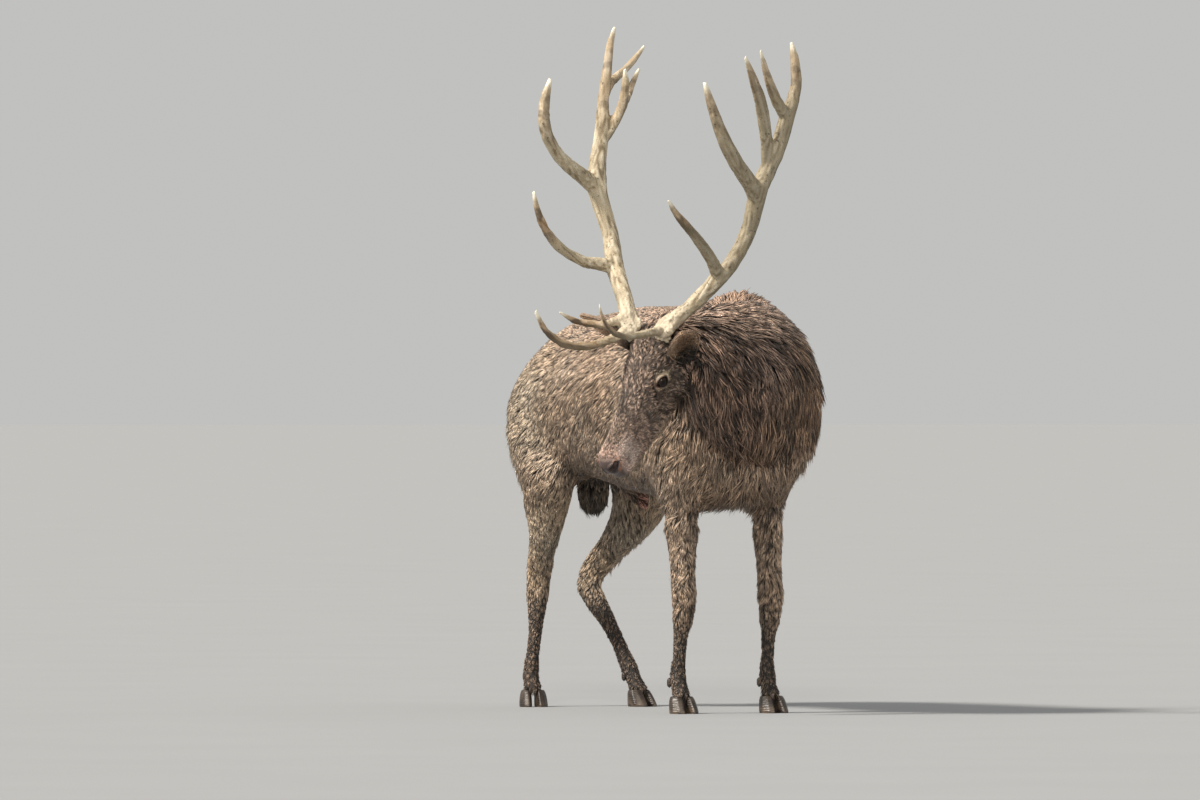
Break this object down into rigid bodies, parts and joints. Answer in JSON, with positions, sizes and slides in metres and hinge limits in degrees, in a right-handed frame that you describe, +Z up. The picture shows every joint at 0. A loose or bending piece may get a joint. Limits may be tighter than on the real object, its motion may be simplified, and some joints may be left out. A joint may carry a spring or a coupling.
{
  "type": "red deer stag",
  "caption": "Life-size red deer stag standing with its head lowered and turned to its right under branched antlers; a still display model that rests on its hooves.",
  "frame": {"origin": "middle of the base of the bounding box, on the floor plane that the hooves stand on", "axes": "+X forward along the trunk, +Y to the stag's left, +Z up"},
  "size_m": [1.7614, 1.011, 1.9709],
  "materials": {
    "coat": "furred hide, wet and muddy",
    "ear_coat": "thin furred skin over cartilage",
    "antler": "hard bone, grooved, with polished tips",
    "hoof": "dark horn, a little worn",
    "eye": "dark glass eye, polished"
  },
  "bodies": {
    "root": {"antler_left_brow": "antler", "antler_left_crown_back": "antler", "antler_left_crown_front": "antler", "antler_left_crown_top": "antler", "antler_left_lower": "antler", "antler_left_middle": "antler", "antler_left_surroyal": "antler", "antler_left_trez": "antler", "antler_left_upper": "antler", "antler_right_bez": "antler", "antler_right_brow": "antler", "antler_right_crown_back": "antler", "antler_right_crown_front": "antler", "antler_right_crown_side": "antler", "antler_right_crown_top": "antler", "antler_right_lower": "antler", "antler_right_middle": "antler", "antler_right_surroyal": "antler", "antler_right_trez": "antler", "antler_right_upper": "antler", "ear_left": "ear_coat", "ear_right": "ear_coat", "eye_left": "eye", "eye_right": "eye", "foreleg_left_claw_left": "hoof", "foreleg_left_claw_right": "hoof", "foreleg_left_dewclaw_left": "hoof", "foreleg_left_dewclaw_right": "hoof", "foreleg_left_lower": "coat", "foreleg_left_upper": "coat", "foreleg_right_claw_left": "hoof", "foreleg_right_claw_right": "hoof", "foreleg_right_dewclaw_left": "hoof", "foreleg_right_dewclaw_right": "hoof", "foreleg_right_lower": "coat", "foreleg_right_upper": "coat", "head": "coat", "hindleg_left_claw_left": "hoof", "hindleg_left_claw_right": "hoof", "hindleg_left_dewclaw_left": "hoof", "hindleg_left_dewclaw_right": "hoof", "hindleg_left_lower": "coat", "hindleg_left_upper": "coat", "hindleg_right_claw_left": "hoof", "hindleg_right_claw_right": "hoof", "hindleg_right_dewclaw_left": "hoof", "hindleg_right_dewclaw_right": "hoof", "hindleg_right_lower": "coat", "hindleg_right_upper": "coat", "neck_lower": "coat", "neck_upper": "coat", "scrotum": "coat", "sheath": "coat", "tail": "coat", "trunk": "coat"}
  },
  "joints": []
}
